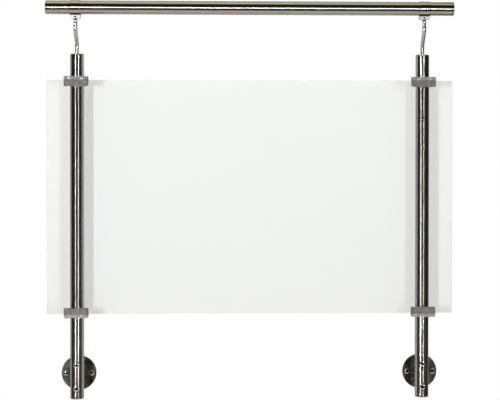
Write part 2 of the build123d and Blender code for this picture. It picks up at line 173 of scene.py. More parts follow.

# Die cast zinc. A sloping strip's normal has a Z between the two ranges of STRIP_SLOPE. Painted light:
# flat faces are darkened more than sloping strips, so the strips look lit.
ZINC_DARK = (0.52, 0.514, 0.504)
ZINC_LIGHT = (0.84, 0.824, 0.808)
ZINC_SMOOTH = 0.66
ZINC_DULL = 0.72
ZINC_GRAIN_DEPTH = 0.08 * MM
STRIP_SLOPE = ((0.15, 0.25), (0.50, 0.60))
FACE_PAINTED_SHADE = (0.5, 0.5, 0.5)
STRIP_PAINTED_LIGHT = (0.95, 0.95, 0.95)

# Clear acrylic. A face looks along Y, a sawn edge doesn't.
ACRYLIC_TINT = (0.985, 0.992, 0.988)
PASSING_TINT = (0.97, 0.98, 0.975)
ACRYLIC_IOR = 1.49
SAWN_ROUGHNESS = 0.22
SAWN_DEPTH = 0.02 * MM
EDGE_LOOK = 0.55
FACE_LOOK = 0.95

# Black finishes, also for the painted shade in sockets, and rubber
BLACK_SHINE = 0.2
BLACK_WORN_TIMES = 1.6
BLACK_DULLER = 0.1
RUBBER_DARK = (0.018, 0.018, 0.019)
RUBBER_BLOOM = (0.035, 0.035, 0.034)
RUBBER_ROUGHNESS = 0.72
RUBBER_GRAIN_DEPTH = 0.04 * MM

# Wall bolts
BOLT_THREAD_RADIUS = 4.9 * MM
BOLT_THREAD_DEPTH = 0.92 * MM
BOLT_THREAD_PITCH = 1.5 * MM
BOLT_THREAD_STEPS = 24
BOLT_FLANK_SHARE = 0.44
BOLT_SHANK_RADIUS = 4.5 * MM
FLANGE_THICKNESS = 6.0 * MM

# Screw heads
ROUND_CORNERS = 48
ROUNDING_STEPS = 6
HEAD_DOME_SHARE = 0.8
HEAD_SOCKET_SHARE = 0.52
HEAD_INSET_SHARE = 0.8
HALF_HEXAGON_CORNER = radians(30)
HEIGHT_DIGITS = 7
CLAMP_SCREW_ROUNDING = 1.4 * MM
CLAMP_SCREW_HEAD_HEIGHT = 2.75 * MM
CLAMP_SCREW_SHANK_RADIUS = 2.5 * MM
POST_BOLT_SHANK_RADIUS = 4.0 * MM
POST_BOLT_HEAD_HEIGHT = 7.12 * MM
POST_BOLT_ROUNDING = 4.3 * MM

# Rubber pads
PAD_THICKNESS = 1.5 * MM
PAD_FOOT = 1.0 * MM
PAD_EDGE_RADIUS = 0.3 * MM
PAD_EDGE_STEPS = 3

SMOOTH_ANGLE = radians(35)


def make_camera():
    """The camera at the photograph's angle, with only as much shift as its framing has."""
    lens = bpy.data.cameras.new("camera")
    lens.sensor_width = SENSOR_WIDTH_MM
    lens.lens = SENSOR_WIDTH_MM * FOCAL_LENGTH_PX / FRAME_WIDTH_PX
    lens.shift_x = (FRAME_WIDTH_PX / 2 - OPTICAL_AXIS_PX[0]) / FRAME_WIDTH_PX
    lens.shift_y = (OPTICAL_AXIS_PX[1] - FRAME_HEIGHT_PX / 2) / FRAME_WIDTH_PX
    camera = bpy.data.objects.new("camera", lens)
    aim = Euler((radians(90 + CAMERA_PITCH), 0, radians(-CAMERA_YAW))).to_matrix()
    roll = Matrix.Rotation(radians(-CAMERA_ROLL), 3, "Z")
    camera.matrix_world = Matrix.Translation(CAMERA_PLACE) @ (aim @ roll).to_4x4()
    bpy.context.collection.objects.link(camera)
    bpy.context.scene.camera = camera


# Nodes


def feed(tree, socket, value):
    """Gives a socket its value, which is another socket or a plain value."""
    if isinstance(value, bpy.types.NodeSocket):
        tree.links.new(value, socket)
    else:
        socket.default_value = value


def add_noise(tree, vector, scale, detail=2.0, roughness=0.5):
    """A noise over a surface; its scale is a socket or a plain value."""
    noise = tree.nodes.new("ShaderNodeTexNoise")
    noise.inputs["Detail"].default_value = detail
    noise.inputs["Roughness"].default_value = roughness
    tree.links.new(vector, noise.inputs["Vector"])
    feed(tree, noise.inputs["Scale"], scale)
    return noise.outputs["Fac"]


def add_line_noise(tree, along, detail=2.0):
    """A noise along one value, a unit of it to a grain."""
    noise = tree.nodes.new("ShaderNodeTexNoise")
    noise.noise_dimensions = "1D"
    noise.inputs["Scale"].default_value = 1.0
    noise.inputs["Detail"].default_value = detail
    tree.links.new(along, noise.inputs["W"])
    return noise.outputs["Fac"]


def add_range(tree, value, low, high, to_low=0.0, to_high=1.0):
    """Maps a value's range to another; each end is a socket or a plain value."""
    node = tree.nodes.new("ShaderNodeMapRange")
    tree.links.new(value, node.inputs["Value"])
    ends = {"From Min": low, "From Max": high, "To Min": to_low, "To Max": to_high}
    for label, end in ends.items():
        feed(tree, node.inputs[label], end)
    return node.outputs["Result"]


def blend_values(tree, share, first, second):
    """One value to another by a share."""
    return add_range(tree, share, 0.0, 1.0, first, second)


def add_math(tree, operation, first, second=0.0):
    """A math node; each side is a socket or a plain value."""
    node = tree.nodes.new("ShaderNodeMath")
    node.operation = operation
    for socket, side in zip(node.inputs, (first, second)):
        feed(tree, socket, side)
    return node.outputs[0]


def split_axes(tree, vector):
    """The X, Y and Z of a vector."""
    parts = tree.nodes.new("ShaderNodeSeparateXYZ")
    tree.links.new(vector, parts.inputs[0])
    return parts.outputs


def mix_colours(tree, share, first, second):
    """One colour to another by a share."""
    mix = tree.nodes.new("ShaderNodeMix")
    mix.data_type = "RGBA"
    mix.inputs["A"].default_value = (*first, 1)
    mix.inputs["B"].default_value = (*second, 1)
    tree.links.new(share, mix.inputs["Factor"])
    return mix.outputs["Result"]


def multiply_colours(tree, first, second):
    """The product of two colour sockets."""
    mix = tree.nodes.new("ShaderNodeMix")
    mix.data_type = "RGBA"
    mix.blend_type = "MULTIPLY"
    mix.inputs["Factor"].default_value = 1.0
    tree.links.new(first, mix.inputs["A"])
    tree.links.new(second, mix.inputs["B"])
    return mix.outputs["Result"]


def add_glow(tree, kind, colour, strength=1.0):
    """An emission or background shader of one colour."""
    glow = tree.nodes.new(kind)
    glow.inputs["Color"].default_value = (*colour, 1)
    glow.inputs["Strength"].default_value = strength
    return glow.outputs[0]


def stack_shaders(tree, shown, layers, output):
    """Lays shaders over each other by their factors, the last on top."""
    for factor, layer in layers:
        mix = tree.nodes.new("ShaderNodeMixShader")
        feed(tree, mix.inputs["Fac"], factor)
        tree.links.new(shown, mix.inputs[1])
        tree.links.new(layer, mix.inputs[2])
        shown = mix.outputs[0]
    tree.links.new(shown, tree.nodes[output].inputs["Surface"])


def has_bounced(tree, path, kind):
    """1 on rays that have bounced in this way, else 0."""
    return add_math(tree, "GREATER_THAN", path.outputs[f"{kind} Depth"], HALF_BOUNCE)


# Shader node groups: each gives values that change over a surface


def start_group(name, inputs, outputs):
    """A shader node group with named sockets, given as (name, kind, default) and (name, kind)."""
    tree = bpy.data.node_groups.new(name, "ShaderNodeTree")
    for label, kind, default in inputs:
        socket = tree.interface.new_socket(label, in_out="INPUT", socket_type=kind)
        if default is not None:
            socket.default_value = default
    for label, kind in outputs:
        tree.interface.new_socket(label, in_out="OUTPUT", socket_type=kind)
    return tree, tree.nodes.new("NodeGroupInput"), tree.nodes.new("NodeGroupOutput")


def make_ground_lines():
    """Fine grinding lines: pattern space is stretched by the material, so that lines run one way."""
    tree, given, result = start_group(
        "ground_lines",
        [("Vector", "NodeSocketVector", None), ("Lines", "NodeSocketFloat", 900.0)],
        [("Height", "NodeSocketFloat"), ("Tone", "NodeSocketFloat")],
    )
    fine = add_noise(tree, given.outputs["Vector"], given.outputs["Lines"], detail=3.0, roughness=0.6)
    broad_scale = add_math(tree, "MULTIPLY", given.outputs["Lines"], BROAD_SCALE)
    broad = add_noise(tree, given.outputs["Vector"], broad_scale)
    broad_height = add_math(tree, "MULTIPLY", broad, BROAD_HEIGHT)
    tree.links.new(add_math(tree, "ADD", fine, broad_height), result.inputs["Height"])
    tree.links.new(add_range(tree, broad, NOISE_LOW, NOISE_HIGH), result.inputs["Tone"])
    return tree


def make_handling_haze():
    """Soft cloudy areas where a surface is a little duller, as after wiping."""
    tree, given, result = start_group(
        "handling_haze",
        [("Vector", "NodeSocketVector", None), ("Scale", "NodeSocketFloat", 12.0)],
        [("Haze", "NodeSocketFloat")],
    )
    cloud = add_noise(tree, given.outputs["Vector"], given.outputs["Scale"], detail=4.0, roughness=0.55)
    tree.links.new(add_range(tree, cloud, HAZE_FROM, HAZE_TO), result.inputs["Haze"])
    return tree


def make_cast_grain():
    """The skin of a die casting: fine grains, with soft mottling between them."""
    tree, given, result = start_group(
        "cast_grain",
        [("Vector", "NodeSocketVector", None), ("Grains", "NodeSocketFloat", 1400.0)],
        [("Height", "NodeSocketFloat"), ("Mottle", "NodeSocketFloat")],
    )
    grain = add_noise(tree, given.outputs["Vector"], given.outputs["Grains"], roughness=0.65)
    mottle_scale = add_math(tree, "MULTIPLY", given.outputs["Grains"], BROAD_SCALE)
    mottle = add_noise(tree, given.outputs["Vector"], mottle_scale, detail=3.0)
    tree.links.new(grain, result.inputs["Height"])
    tree.links.new(add_range(tree, mottle, NOISE_LOW, NOISE_HIGH), result.inputs["Mottle"])
    return tree


def make_turned_lines():
    """Lathe lines round the Y axis of the vector that comes in, finer or coarser by Lines."""
    tree, given, result = start_group(
        "turned_lines",
        [("Vector", "NodeSocketVector", None), ("Lines", "NodeSocketFloat", 1500.0)],
        [("Height", "NodeSocketFloat"), ("Tone", "NodeSocketFloat")],
    )
    flat = tree.nodes.new("ShaderNodeVectorMath")
    flat.operation = "MULTIPLY"
    flat.inputs[1].default_value = (1, 0, 1)
    tree.links.new(given.outputs["Vector"], flat.inputs[0])
    reach = tree.nodes.new("ShaderNodeVectorMath")
    reach.operation = "LENGTH"
    tree.links.new(flat.outputs[0], reach.inputs[0])
    spread = add_math(tree, "MULTIPLY", reach.outputs["Value"], given.outputs["Lines"])
    tree.links.new(add_line_noise(tree, spread, detail=3.0), result.inputs["Height"])
    bands = add_line_noise(tree, add_math(tree, "MULTIPLY", spread, TURNED_BAND_SCALE))
    tree.links.new(add_range(tree, bands, NOISE_LOW, NOISE_HIGH), result.inputs["Tone"])
    return tree


def make_sheet_edge():
    """1 on the sheet's narrow edges, 0 on its two big faces, with the saw's lines across the edge."""
    tree, given, result = start_group(
        "sheet_edge",
        [("Normal", "NodeSocketVector", None), ("Vector", "NodeSocketVector", None)],
        [("Edge", "NodeSocketFloat"), ("Saw Lines", "NodeSocketFloat")],
    )
    facing = add_math(tree, "ABSOLUTE", split_axes(tree, given.outputs["Normal"])["Y"])
    edge = add_range(tree, facing, EDGE_LOOK, FACE_LOOK, 1.0, 0.0)
    tree.links.new(edge, result.inputs["Edge"])
    tree.links.new(add_noise(tree, given.outputs["Vector"], SAW_LINES), result.inputs["Saw Lines"])
    return tree


GROUND_LINES = make_ground_lines()
HANDLING_HAZE = make_handling_haze()
CAST_GRAIN = make_cast_grain()
TURNED_LINES = make_turned_lines()
SHEET_EDGE = make_sheet_edge()


# Materials


def start_material(name):
    """A material with its Principled shader, and the object coordinates that its patterns read."""
    material = bpy.data.materials.new(name)
    material.use_nodes = True
    tree = material.node_tree
    shader = tree.nodes["Principled BSDF"]
    coordinates = tree.nodes.new("ShaderNodeTexCoord")
    return material, tree, shader, coordinates


def add_mapping(tree, vector, place=(0, 0, 0), scale=(1, 1, 1)):
    """Moves and stretches pattern space: place is the point that becomes its origin."""
    mapping = tree.nodes.new("ShaderNodeMapping")
    mapping.vector_type = "TEXTURE"
    mapping.inputs["Location"].default_value = place
    mapping.inputs["Scale"].default_value = scale
    tree.links.new(vector, mapping.inputs["Vector"])
    return mapping.outputs["Vector"]


def place_group(tree, group, vector, **values):
    """Puts a node group in a material, with its own values."""
    node = tree.nodes.new("ShaderNodeGroup")
    node.node_tree = group
    tree.links.new(vector, node.inputs["Vector"])
    for label, value in values.items():
        node.inputs[label].default_value = value
    return node


def add_bump(tree, shader, height, depth):
    """A bump of this depth in metres on a shader's normal."""
    bump = tree.nodes.new("ShaderNodeBump")
    bump.inputs["Strength"].default_value = 1.0
    bump.inputs["Distance"].default_value = depth
    tree.links.new(height, bump.inputs["Height"])
    tree.links.new(bump.outputs["Normal"], shader.inputs["Normal"])


def set_tangent(tree, shader, direction):
    """The direction in which a shader's fine lines spread a reflection."""
    tangent = tree.nodes.new("ShaderNodeCombineXYZ")
    for socket, share in zip(tangent.inputs, direction):
        socket.default_value = share
    tree.links.new(tangent.outputs[0], shader.inputs["Tangent"])


def make_ground_steel(name, stretch, dark, light, smooth, dull, lines=900.0, across=None, edge=1.0):
    """Steel with fine grinding lines. stretch is how far the lines run along X, Y and Z.

    across is the direction across the lines, in which they spread a reflection. edge is how much of
    its reflection the steel keeps where it is seen slantwise.
    """
    material, tree, shader, coordinates = start_material(name)
    shader.inputs["Metallic"].default_value = 1.0
    shader.inputs["Specular Tint"].default_value = (edge, edge, edge, 1)
    if across:
        shader.inputs["Anisotropic"].default_value = 1.0
        set_tangent(tree, shader, across)
    vector = add_mapping(tree, coordinates.outputs["Object"], scale=stretch)
    ground = place_group(tree, GROUND_LINES, vector, Lines=lines)
    haze = place_group(tree, HANDLING_HAZE, coordinates.outputs["Object"], Scale=14.0)
    colour = mix_colours(tree, ground.outputs["Tone"], dark, light)
    tree.links.new(colour, shader.inputs["Base Color"])
    worn = add_math(tree, "MULTIPLY", haze.outputs["Haze"], WEAR_SHARE)
    lined = add_math(tree, "MULTIPLY", ground.outputs["Tone"], WEAR_SHARE)
    roughness = blend_values(tree, add_math(tree, "ADD", worn, lined), smooth, dull)
    tree.links.new(roughness, shader.inputs["Roughness"])
    add_bump(tree, shader, ground.outputs["Height"], GRINDING_DEPTH)
    return material


def make_turned_steel(name, centre, dark, light, smooth, dull):
    """Steel turned on a lathe round a centre, as the round flanges are."""
    material, tree, shader, coordinates = start_material(name)
    shader.inputs["Metallic"].default_value = 1.0
    vector = add_mapping(tree, coordinates.outputs["Object"], place=centre)
    turned = place_group(tree, TURNED_LINES, vector, Lines=1500.0)
    haze = place_group(tree, HANDLING_HAZE, coordinates.outputs["Object"], Scale=45.0)
    colour = mix_colours(tree, turned.outputs["Tone"], dark, light)
    tree.links.new(colour, shader.inputs["Base Color"])
    roughness = blend_values(tree, haze.outputs["Haze"], smooth, dull)
    tree.links.new(roughness, shader.inputs["Roughness"])
    add_bump(tree, shader, turned.outputs["Height"], TURNING_DEPTH)
    return material


def make_cast_zinc():
    """Matte grey die casting, faintly mottled, with painted light that makes the plates' sloping strips
    brighter than their faces.
    """
    material, tree, shader, coordinates = start_material("cast_zinc")
    shader.inputs["Metallic"].default_value = 1.0
    grain = place_group(tree, CAST_GRAIN, coordinates.outputs["Object"], Grains=1400.0)
    colour = mix_colours(tree, grain.outputs["Mottle"], ZINC_DARK, ZINC_LIGHT)
    # Painted light: the colour is darkened less on sloping strips than on flat faces.
    slope = add_math(tree, "ABSOLUTE", split_axes(tree, coordinates.outputs["Normal"])["Z"])
    risen, steep = (add_range(tree, slope, low, high) for low, high in STRIP_SLOPE)
    strip = add_math(tree, "SUBTRACT", risen, steep)
    shade = mix_colours(tree, strip, FACE_PAINTED_SHADE, STRIP_PAINTED_LIGHT)
    tree.links.new(multiply_colours(tree, colour, shade), shader.inputs["Base Color"])
    roughness = blend_values(tree, grain.outputs["Mottle"], ZINC_DULL, ZINC_SMOOTH)
    tree.links.new(roughness, shader.inputs["Roughness"])
    add_bump(tree, shader, grain.outputs["Height"], ZINC_GRAIN_DEPTH)
    return material


def make_clear_acrylic():
    """Clear sheet with eased, finely sawn edges. Shadow rays and bounced rays go straight through."""
    material, tree, shader, coordinates = start_material("clear_acrylic")
    shader.inputs["Base Color"].default_value = (*ACRYLIC_TINT, 1)
    shader.inputs["Transmission Weight"].default_value = 1.0
    shader.inputs["IOR"].default_value = ACRYLIC_IOR
    saw_vector = add_mapping(tree, coordinates.outputs["Object"], scale=SAW_STRETCH)
    edge = place_group(tree, SHEET_EDGE, saw_vector)
    tree.links.new(coordinates.outputs["Normal"], edge.inputs["Normal"])
    roughness = blend_values(tree, edge.outputs["Edge"], 0.0, SAWN_ROUGHNESS)
    tree.links.new(roughness, shader.inputs["Roughness"])
    sawn = add_math(tree, "MULTIPLY", edge.outputs["Edge"], edge.outputs["Saw Lines"])
    add_bump(tree, shader, sawn, SAWN_DEPTH)
    passing = tree.nodes.new("ShaderNodeBsdfTransparent")
    passing.inputs["Color"].default_value = (*PASSING_TINT, 1)
    path = tree.nodes.new("ShaderNodeLightPath")
    bounced = add_math(tree, "ADD", path.outputs["Diffuse Depth"], path.outputs["Glossy Depth"])
    unseen = add_math(tree, "ADD", bounced, path.outputs["Is Shadow Ray"])
    straight = add_math(tree, "MINIMUM", unseen, 1.0)
    stack_shaders(tree, shader.outputs[0], [(straight, passing.outputs[0])], "Material Output")
    return material


def make_bracket_steel():
    """The rail bracket: a sleeve ground like the rail, a satin boss, and a band of painted shade where
    they meet.
    """
    material, tree, shader, coordinates = start_material("bracket_steel")
    shader.inputs["Metallic"].default_value = 1.0
    height = split_axes(tree, coordinates.outputs["Object"])["Z"]
    rail_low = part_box("handrail_tube")[0].z
    top = rail_low + ROOT_ABOVE
    foot = rail_low - ROOT_BELOW
    sleeve = add_range(tree, height, top - ROOT_BLEND, top + ROOT_BLEND)
    above = add_range(tree, height, foot - ROOT_BLEND, foot + ROOT_BLEND)
    # Painted shade: a dark band where the boss meets the sleeve, just under the rail.
    root = add_math(tree, "SUBTRACT", above, sleeve)
    haze = place_group(tree, HANDLING_HAZE, coordinates.outputs["Object"], Scale=60.0)
    satin = blend_values(tree, haze.outputs["Haze"], BOSS_SMOOTH, BOSS_DULL)
    roughness = blend_values(tree, sleeve, satin, SLEEVE_ROUGHNESS)
    tree.links.new(roughness, shader.inputs["Roughness"])
    tree.links.new(sleeve, shader.inputs["Anisotropic"])
    set_tangent(tree, shader, ACROSS_RAIL)
    bare = mix_colours(tree, sleeve, BOSS_COLOUR, STEEL_LIGHT)
    # The root band gets painted shade.
    shade = mix_colours(tree, root, WHITE, ROOT_PAINTED_SHADE)
    tree.links.new(multiply_colours(tree, bare, shade), shader.inputs["Base Color"])
    return material


def make_black_finish(name, metallic, roughness, colour):
    """Blackened steel, black plastic or the painted shade inside sockets, faintly uneven."""
    material, tree, shader, coordinates = start_material(name)
    shader.inputs["Metallic"].default_value = metallic
    shader.inputs["Specular IOR Level"].default_value = BLACK_SHINE
    haze = place_group(tree, HANDLING_HAZE, coordinates.outputs["Object"], Scale=120.0)
    worn = tuple(BLACK_WORN_TIMES * part for part in colour)
    tree.links.new(mix_colours(tree, haze.outputs["Haze"], colour, worn), shader.inputs["Base Color"])
    duller = blend_values(tree, haze.outputs["Haze"], roughness, roughness + BLACK_DULLER)
    tree.links.new(duller, shader.inputs["Roughness"])
    return material


def make_pad_rubber():
    """Black moulded rubber with a faint bloom."""
    material, tree, shader, coordinates = start_material("pad_rubber")
    haze = place_group(tree, HANDLING_HAZE, coordinates.outputs["Object"], Scale=90.0)
    colour = mix_colours(tree, haze.outputs["Haze"], RUBBER_DARK, RUBBER_BLOOM)
    tree.links.new(colour, shader.inputs["Base Color"])
    shader.inputs["Roughness"].default_value = RUBBER_ROUGHNESS
    grain = place_group(tree, CAST_GRAIN, coordinates.outputs["Object"], Grains=2200.0)
    add_bump(tree, shader, grain.outputs["Height"], RUBBER_GRAIN_DEPTH)
    return material


RAIL_STEEL = make_ground_steel(
    "rail_steel",
    stretch=ROUND_X,
    dark=STEEL_DARK,
    light=STEEL_LIGHT,
    smooth=0.275,
    dull=0.285,
    across=ACROSS_RAIL,
)
POST_STEEL = make_ground_steel(
    "post_steel",
    stretch=ROUND_Z,
    dark=STEEL_DARK,
    light=STEEL_LIGHT,
    smooth=0.207,
    dull=0.213,
    across=ACROSS_POST,
)
ROD_STEEL = make_ground_steel(
    "rod_steel",
    stretch=ROUND_Z,
    dark=(0.86, 0.85, 0.84),
    light=(0.90, 0.89, 0.88),
    smooth=0.24,
    dull=0.26,
    across=ACROSS_POST,
    edge=0.0,
)
SATIN_STEEL = make_ground_steel(
    "satin_steel",
    stretch=EVEN_GRAIN,
    dark=(0.76, 0.75, 0.74),
    light=(0.82, 0.81, 0.80),
    smooth=0.28,
    dull=0.34,
    lines=300.0,
    edge=0.3,
)
SCREW_STEEL = make_ground_steel(
    "screw_steel",
    stretch=EVEN_GRAIN,
    dark=(0.86, 0.85, 0.84),
    light=(0.92, 0.91, 0.90),
    smooth=0.33,
    dull=0.38,
    lines=500.0,
)
BOLT_STEEL = make_ground_steel(
    "bolt_steel",
    stretch=EVEN_GRAIN,
    dark=(0.84, 0.83, 0.82),
    light=(0.92, 0.91, 0.90),
    smooth=0.12,
    dull=0.20,
    lines=500.0,
)
BRACKET_STEEL = make_bracket_steel()
BLACKENED_STEEL = make_black_finish(
    "blackened_steel", metallic=0.4, roughness=0.52, colour=(0.020, 0.019, 0.018)
)
# Painted shade: a near-black finish for the insides of screw sockets.
SOCKET_SHADE = make_black_finish(
    "socket_shade", metallic=0.0, roughness=0.70, colour=(0.006, 0.006, 0.006)
)
BLACK_PLASTIC = make_black_finish(
    "black_plastic", metallic=0.0, roughness=0.60, colour=(0.010, 0.010, 0.010)
)
CAST_ZINC = make_cast_zinc()
CLEAR_ACRYLIC = make_clear_acrylic()
PAD_RUBBER = make_pad_rubber()


def flange_centre(side):
    """The middle of a flange's front face."""
    low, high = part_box(f"wall_flange_{side}")
    return ((low.x + high.x) / 2, low.y, (low.z + high.z) / 2)


FLANGE_STEEL = {
    side: make_turned_steel(
        f"flange_steel_{side}",
        centre=flange_centre(side),
        dark=(0.21, 0.20, 0.185),
        light=(0.28, 0.27, 0.255),
        smooth=0.24,
        dull=0.34,
    )
    for side in SIDES
}


def dress(node, material):
    """Gives a CAD node its finish."""
    slots = NODES[node].material_slots
    for slot in slots:
        slot.material = material
    if not slots:
        NODES[node].data.materials.append(material)


def dress_cad_nodes():
    """Finishes for every CAD node that keeps its own mesh."""
    dress("acrylic_sheet", CLEAR_ACRYLIC)
    for node in ("handrail_tube", "handrail_end_cap_left", "handrail_end_cap_right"):
        dress(node, RAIL_STEEL)
    finishes = {
        "post_tube": POST_STEEL,
        "post_bottom_cap": POST_STEEL,
        "post_top_cap": POST_STEEL,
        "support_rod": ROD_STEEL,
        "rail_bracket": BRACKET_STEEL,
        "knuckle_head": SATIN_STEEL,
        "swivel_bush": BLACK_PLASTIC,
        "bracket_lock_screw": BLACKENED_STEEL,
        "knuckle_pin": BLACKENED_STEEL,
    }
    for side in SIDES:
        for node, finish in finishes.items():
            dress(f"{node}_{side}", finish)
        for node in ("wall_flange", "upper_standoff", "lower_standoff"):
            dress(f"{node}_{side}", FLANGE_STEEL[side])
    for clamp in CLAMPS:
        for node in ("saddle_block", "clamp_plate"):
            dress(f"{node}_{clamp}", CAST_ZINC)
        dress(f"saddle_screw_{clamp}", SCREW_STEEL)


# Pieces modelled here


def finish_piece(bm, name, material, slot, *replaced):
    """Makes a bmesh a piece of the one body, in place of CAD nodes. Socket insides get painted shade.
    """
    bmesh.ops.recalc_face_normals(bm, faces=bm.faces)
    mesh = bpy.data.meshes.new(name)
    bm.to_mesh(mesh)
    bm.free()
    mesh.materials.append(material)
    if any(face.material_index for face in mesh.polygons):
        mesh.materials.append(SOCKET_SHADE)
    mesh.shade_smooth()
    mesh.set_sharp_from_angle(angle=SMOOTH_ANGLE)
    piece = bpy.data.objects.new(name, mesh)
    bpy.context.collection.objects.link(piece)
    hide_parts(*replaced)
    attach(piece, "root")


def extrude_faces(bm, faces, move):
    """Extrudes faces and closes the form. Gives the new end's face."""
    grown = bmesh.ops.extrude_face_region(bm, geom=faces, use_keep_orig=True)["geom"]
    verts = [part for part in grown if isinstance(part, bmesh.types.BMVert)]
    bmesh.ops.translate(bm, verts=verts, vec=move)
    return next(part for part in grown if isinstance(part, bmesh.types.BMFace))


def round_edges(bm, edges, radius, steps):
    """Rounds edges off in this many steps."""
    bmesh.ops.bevel(
        bm, geom=edges, offset=radius, segments=steps, profile=0.5, affect="EDGES", material=-1
    )


def add_domed_head(bm, radius, height, rounding, socket_radius, socket_depth):
    """A domed head with a six-sided socket, standing on z = 0."""
    disc = bmesh.ops.create_circle(bm, cap_ends=True, segments=ROUND_CORNERS, radius=radius)
    base = disc["verts"][0].link_faces[0]
    top = extrude_faces(bm, [base], (0, 0, height))
    round_edges(bm, list(top.edges), rounding, ROUNDING_STEPS)
    top = max(bm.faces, key=lambda f: (round(f.calc_center_median().z, HEIGHT_DIGITS), len(f.verts)))
    inset = radius - rounding - socket_radius / cos(HALF_HEXAGON_CORNER)
    bmesh.ops.inset_region(bm, faces=[top], thickness=inset * HEAD_INSET_SHARE)
    for vert in top.verts:
        turned = Vector((1, 0)).angle_signed(vert.co.xy)
        around = turned % (2 * HALF_HEXAGON_CORNER) - HALF_HEXAGON_CORNER
        flat_radius = socket_radius * cos(HALF_HEXAGON_CORNER) / cos(around)
        vert.co.xy = vert.co.xy.normalized() * flat_radius
    floor = bmesh.ops.extrude_discrete_faces(bm, faces=[top])["faces"][0]
    bmesh.ops.translate(bm, verts=floor.verts, vec=(0, 0, -socket_depth))
    # The socket's floor and walls take the second material, painted shade.
    for edge in floor.edges:
        for face in edge.link_faces:
            face.material_index = 1


def add_thread(bm, length):
    """A round thread from z = 0 down to z = -length, closed at both ends."""
    turns = round(length / BOLT_THREAD_PITCH) + 2
    root = BOLT_THREAD_RADIUS - BOLT_THREAD_DEPTH
    flank = BOLT_THREAD_PITCH * BOLT_FLANK_SHARE
    profile = (
        (root, 0),
        (BOLT_THREAD_RADIUS, flank),
        (BOLT_THREAD_RADIUS, BOLT_THREAD_PITCH - flank),
        (root, BOLT_THREAD_PITCH),
    )
    start = -length - BOLT_THREAD_PITCH
    verts = [bm.verts.new((reach, 0, start + rise)) for reach, rise in profile]
    edges = [bm.edges.new(pair) for pair in zip(verts, verts[1:])]
    bmesh.ops.spin(
        bm,
        geom=verts + edges,
        cent=(0, 0, 0),
        axis=(0, 0, 1),
        dvec=(0, 0, BOLT_THREAD_PITCH / BOLT_THREAD_STEPS),
        angle=tau * turns,
        steps=BOLT_THREAD_STEPS * turns,
    )
    bmesh.ops.remove_doubles(bm, verts=bm.verts, dist=NEAR)
    for height, side in ((-length, -1), (0, 1)):
        cut = bmesh.ops.bisect_plane(
            bm,
            geom=bm.verts[:] + bm.edges[:] + bm.faces[:],
            plane_co=(0, 0, height),
            plane_no=(0, 0, side),
            clear_outer=True,
        )
        rim = [e for e in cut["geom_cut"] if isinstance(e, bmesh.types.BMEdge)]
        bmesh.ops.edgeloop_fill(bm, edges=rim)


def add_cylinder(bm, radius, start, end):
    """A closed cylinder along z, from one height to another."""
    bmesh.ops.create_cone(
        bm,
        cap_ends=True,
        segments=ROUND_CORNERS,
        radius1=radius,
        radius2=radius,
        depth=end - start,
        matrix=Matrix.Translation((0, 0, (start + end) / 2)),
    )


def place_copy(bm, part, matrix):
    """Adds a finished bmesh to another at a place, and frees it."""
    bmesh.ops.transform(part, matrix=matrix, verts=part.verts)
    mesh = bpy.data.meshes.new("part")
    part.to_mesh(mesh)
    part.free()
    bm.from_mesh(mesh)
    bpy.data.meshes.remove(mesh)


def place_screw(bm, place, head_radius, head_height, rounding, shank_radius, shank_end):
    """A domed socket screw whose head stands on this place and faces the room."""
    towards_room = Matrix.Translation(place) @ Matrix.Rotation(radians(90), 4, "X")
    head = bmesh.new()
    socket_radius = HEAD_SOCKET_SHARE * head_radius
    add_domed_head(head, head_radius, head_height, rounding, socket_radius, head_height / 2)
    place_copy(bm, head, towards_room)
    shank = bmesh.new()
    add_cylinder(shank, shank_radius, shank_end, 0)
    place_copy(bm, shank, towards_room)
    return towards_room


def make_wall_bolts(side):
    """Two domed socket bolts, with a plain shank in the plate and a thread into the wall."""
    node = f"wall_bolts_{side}"
    low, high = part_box(node)
    head_radius = (high.z - low.z) / 2
    head_height = -low.y - FLANGE_THICKNESS
    rounding = HEAD_DOME_SHARE * head_height
    bolts = bmesh.new()
    for x in (low.x + head_radius, high.x - head_radius):
        seat = (x, -FLANGE_THICKNESS, (low.z + high.z) / 2)
        on_plate = place_screw(
            bolts, seat, head_radius, head_height, rounding, BOLT_SHANK_RADIUS, -FLANGE_THICKNESS
        )
        thread = bmesh.new()
        add_thread(thread, high.y)
        place_copy(bolts, thread, on_plate @ Matrix.Translation((0, 0, -FLANGE_THICKNESS)))
    finish_piece(bolts, f"threaded_{node}", BOLT_STEEL, "bolt_steel", node)


def make_clamp_screws(clamp):
    """The two socket screws that close a clamp."""
    node = f"clamp_screws_{clamp}"
    low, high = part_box(node)
    head_radius = (high.z - low.z) / 2
    screws = bmesh.new()
    for x in (low.x + head_radius, high.x - head_radius):
        seat = (x, low.y + CLAMP_SCREW_HEAD_HEIGHT, (low.z + high.z) / 2)
        place_screw(
            screws,
            seat,
            head_radius,
            CLAMP_SCREW_HEAD_HEIGHT,
            CLAMP_SCREW_ROUNDING,
            CLAMP_SCREW_SHANK_RADIUS,
            seat[1] - high.y,
        )
    finish_piece(screws, f"socketed_{node}", SCREW_STEEL, "bolt_steel", node)


